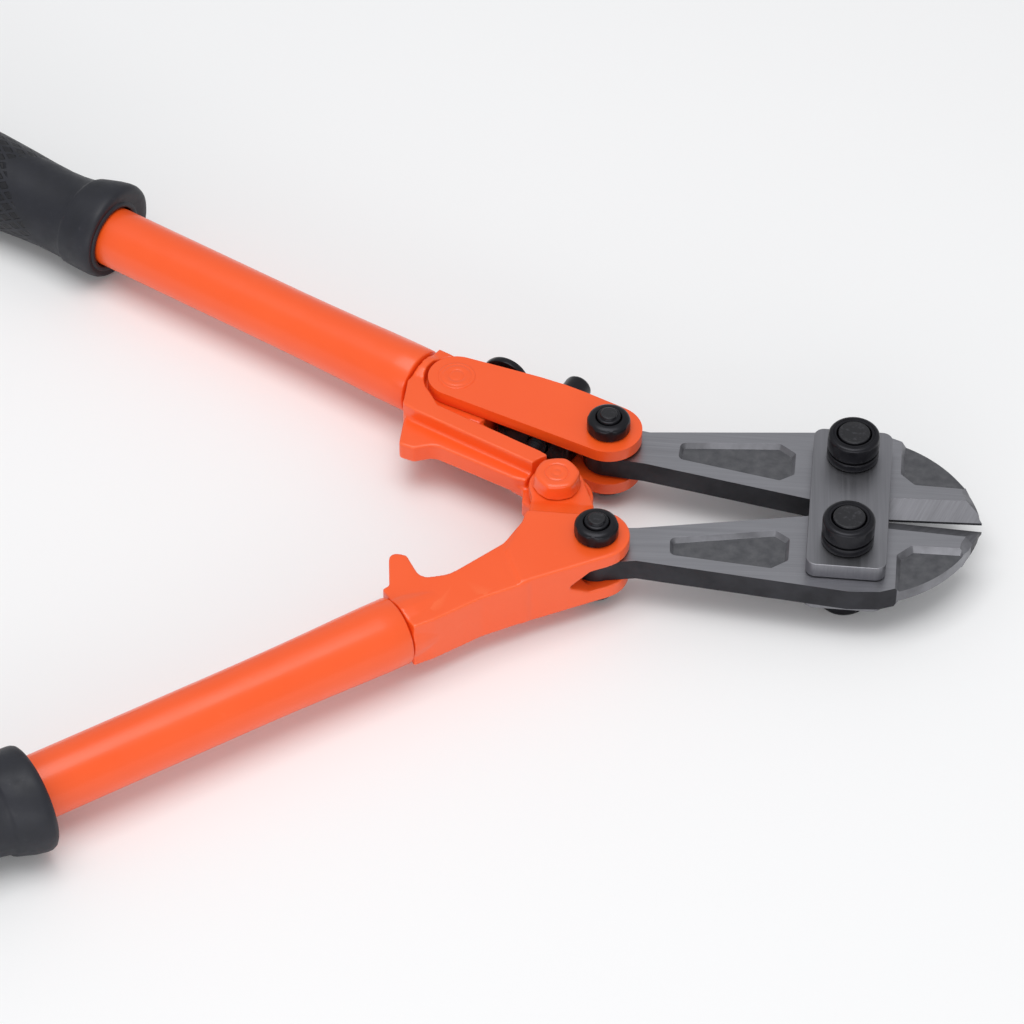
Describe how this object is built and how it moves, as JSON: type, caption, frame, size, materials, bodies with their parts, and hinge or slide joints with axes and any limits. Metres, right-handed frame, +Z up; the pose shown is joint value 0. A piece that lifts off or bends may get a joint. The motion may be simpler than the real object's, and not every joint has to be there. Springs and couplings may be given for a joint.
{
  "type": "bolt cutters",
  "caption": "Hand bolt cutters with short pivoting jaws, compound linkage, adjustable link and long tubular handles with ribbed rubber grips, lying flat and standing open.",
  "frame": {"origin": "centre of the footprint of the tool lying flat, on the surface it lies on", "axes": "+X along the cutting line towards the jaw tips, +Y towards the handle with the adjustable link, +Z up from the surface it lies on"},
  "size_m": [0.3246, 0.3226, 0.0289],
  "materials": {
    "orange_paint": "gloss powder coat",
    "jaw_steel": "satin, ground along the jaw",
    "plate_steel": "satin",
    "black_oxide": "satin black oxide",
    "grip_rubber": "matt, knurled"
  },
  "bodies": {
    "plates": {"joint_plate_top": "plate_steel", "joint_plate_bottom": "plate_steel", "upper_jaw_bolt": "black_oxide", "lower_jaw_bolt": "black_oxide", "upper_jaw_washer": "black_oxide", "lower_jaw_washer": "black_oxide", "upper_jaw_nut": "black_oxide", "lower_jaw_nut": "black_oxide"},
    "upper_jaw": {"upper_jaw": "jaw_steel"},
    "lower_jaw": {"lower_jaw": "jaw_steel"},
    "link": {"link_plate_top": "orange_paint", "link_plate_bottom": "orange_paint", "link_rivet": "orange_paint", "adjuster_block": "black_oxide", "upper_handle_bolt": "black_oxide", "upper_handle_nut": "black_oxide"},
    "front_screw": {"adjusting_screw_front": "black_oxide"},
    "rear_screw": {"adjusting_screw_rear": "black_oxide"},
    "upper_handle": {"upper_handle_head": "orange_paint", "upper_handle_tube": "orange_paint", "upper_grip": "grip_rubber"},
    "lower_handle": {"lower_handle_head": "orange_paint", "lower_handle_tube": "orange_paint", "lower_grip": "grip_rubber", "lower_handle_bolt": "black_oxide", "lower_handle_nut": "black_oxide", "centre_pivot_bolt": "orange_paint", "centre_pivot_nut": "orange_paint"}
  },
  "joints": [
    {"name": "upper_jaw_hinge", "type": "hinge", "parent": "plates", "child": "upper_jaw", "pos_m": [0.12933, 0.03199, 0.013], "axis": [0, 0, 1], "range_deg": [-2.61, 1.4]},
    {"name": "lower_jaw_hinge", "type": "hinge", "parent": "plates", "child": "lower_jaw", "pos_m": [0.12933, 0.00239, 0.013], "axis": [0, 0, 1], "range_deg": [-1.4, 2.61]},
    {"name": "lower_handle_hinge", "type": "hinge", "parent": "lower_jaw", "child": "lower_handle", "pos_m": [0.06813, -0.00141, 0.013], "axis": [0, 0, 1], "range_deg": [-30.6, 16.4]},
    {"name": "link_hinge", "type": "hinge", "parent": "upper_jaw", "child": "link", "pos_m": [0.06813, 0.03579, 0.013], "axis": [0, 0, 1], "range_deg": [-16.4, 30.6]},
    {"name": "upper_handle_adjust", "type": "hinge", "parent": "link", "child": "upper_handle", "pos_m": [0.02833, 0.05099, 0.013], "axis": [0, 0, 1], "range_deg": [-1, 1]},
    {"name": "front_screw_turn", "type": "hinge", "parent": "link", "child": "front_screw", "pos_m": [0.05262, 0.04172, 0.013], "axis": [0.3568, 0.9342, 0], "range_deg": [-180, 180]},
    {"name": "rear_screw_turn", "type": "hinge", "parent": "upper_handle", "child": "rear_screw", "pos_m": [0.0358, 0.04814, 0.013], "axis": [0.3568, 0.9342, 0], "range_deg": [-180, 180]}
  ],
  "couplings": [
    {"joint": "lower_jaw_hinge", "follows": "lower_handle_hinge", "ratio": -0.085},
    {"joint": "upper_jaw_hinge", "follows": "lower_handle_hinge", "ratio": 0.085},
    {"joint": "link_hinge", "follows": "lower_handle_hinge", "ratio": -1}
  ]
}
